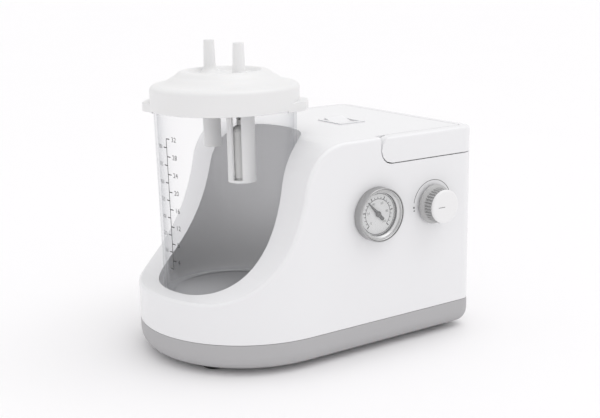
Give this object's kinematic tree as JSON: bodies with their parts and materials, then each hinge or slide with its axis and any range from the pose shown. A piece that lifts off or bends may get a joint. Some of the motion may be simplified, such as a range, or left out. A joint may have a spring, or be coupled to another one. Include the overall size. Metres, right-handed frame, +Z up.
{
  "type": "suction pump",
  "caption": "Portable suction pump: white moulded housing on a grey tray, clear lidded collection jar in an open well, vacuum gauge, regulator knob, rocker switch and folding handle.",
  "frame": {"origin": "on the surface that the feet stand on, under the middle of the bounding box", "axes": "+Z up, +X towards the square end, -Y towards the front with the gauge and the knob"},
  "size_m": [0.2488, 0.208, 0.2389],
  "materials": {
    "housing_white": "satin moulded ABS, fine texture",
    "tray_grey": "light warm grey moulded ABS, fine texture",
    "foot_rubber": "matt black rubber",
    "jar_clear": "clear polycarbonate, polished",
    "lens_clear": "clear polycarbonate window",
    "lid_white": "satin white polypropylene",
    "silicone": "soft light grey silicone",
    "grip_grey": "light grey moulded plastic",
    "gauge_chrome": "polished chrome plate",
    "gauge_face": "light grey printed dial",
    "black_plastic": "black moulded plastic",
    "steel": "machined and zinc plated steel",
    "cast_aluminium": "fine cast aluminium",
    "valve_brass": "turned brass"
  },
  "bodies": {
    "base": {"upper_housing": "housing_white", "base_tray": "tray_grey", "foot_1": "foot_rubber", "foot_2": "foot_rubber", "foot_3": "foot_rubber", "foot_4": "foot_rubber", "handle_pin_front": "steel", "handle_pin_rear": "steel", "gauge_case": "black_plastic", "gauge_bezel": "gauge_chrome", "gauge_dial": "gauge_face", "gauge_lens": "lens_clear", "regulator_valve": "valve_brass", "switch_frame": "housing_white", "vacuum_nipple": "grip_grey", "power_inlet": "black_plastic", "fuse_holder": "black_plastic", "motor_case": "steel", "pump_case": "cast_aluminium", "pump_head": "cast_aluminium", "pump_bracket": "steel", "rubber_mount_1": "foot_rubber", "rubber_mount_2": "foot_rubber", "rubber_mount_3": "foot_rubber", "rubber_mount_4": "foot_rubber", "exhaust_muffler": "black_plastic"},
    "handle": {"carry_handle": "housing_white"},
    "needle": {"gauge_needle": "black_plastic"},
    "knob": {"regulator_knob": "grip_grey", "knob_cap": "housing_white", "regulator_spindle": "steel"},
    "rocker": {"switch_rocker": "housing_white"},
    "jar": {"collection_jar": "jar_clear"},
    "lid": {"jar_lid": "lid_white", "lid_gasket": "silicone", "float_cage": "lid_white"},
    "float": {"shutoff_float": "silicone"},
    "rotor": {"motor_rotor": "steel", "cooling_fan": "black_plastic", "eccentric": "steel"},
    "rod": {"piston_rod": "cast_aluminium"}
  },
  "joints": [
    {"name": "handle_fold", "type": "hinge", "parent": "base", "child": "handle", "pos_m": [0.04, 0, 0.1574], "axis": [0, -1, 0], "range_deg": [0, 90]},
    {"name": "needle_swing", "type": "hinge", "parent": "base", "child": "needle", "pos_m": [0.0243, -0.0909, 0.1103], "axis": [0, -1, 0], "range_deg": [-178, 91]},
    {"name": "knob_turn", "type": "hinge", "parent": "base", "child": "knob", "pos_m": [0.0798, -0.09, 0.1102], "axis": [0, 1, 0], "range_deg": [0, 200]},
    {"name": "rocker_tip", "type": "hinge", "parent": "base", "child": "rocker", "pos_m": [0.0556, -0.001, 0.164], "axis": [-1, 0, 0], "range_deg": [0, 12]},
    {"name": "jar_lift", "type": "slide", "parent": "base", "child": "jar", "axis": [0, 0, 1], "range_m": [0, 0.135]},
    {"name": "lid_lift", "type": "slide", "parent": "jar", "child": "lid", "axis": [0, 0, 1], "range_m": [0, 0.075]},
    {"name": "float_rise", "type": "slide", "parent": "lid", "child": "float", "axis": [0, 0, 1], "range_m": [0, 0.016]},
    {"name": "motor_spin", "type": "hinge", "parent": "base", "child": "rotor", "pos_m": [0.066, 0, 0.054], "axis": [0, 1, 0], "continuous": true},
    {"name": "rod_orbit", "type": "hinge", "parent": "rotor", "child": "rod", "pos_m": [0.066, -0.032, 0.0555], "axis": [0, 1, 0], "continuous": true}
  ],
  "couplings": [
    {"joint": "rod_orbit", "follows": "motor_spin", "ratio": -1}
  ]
}
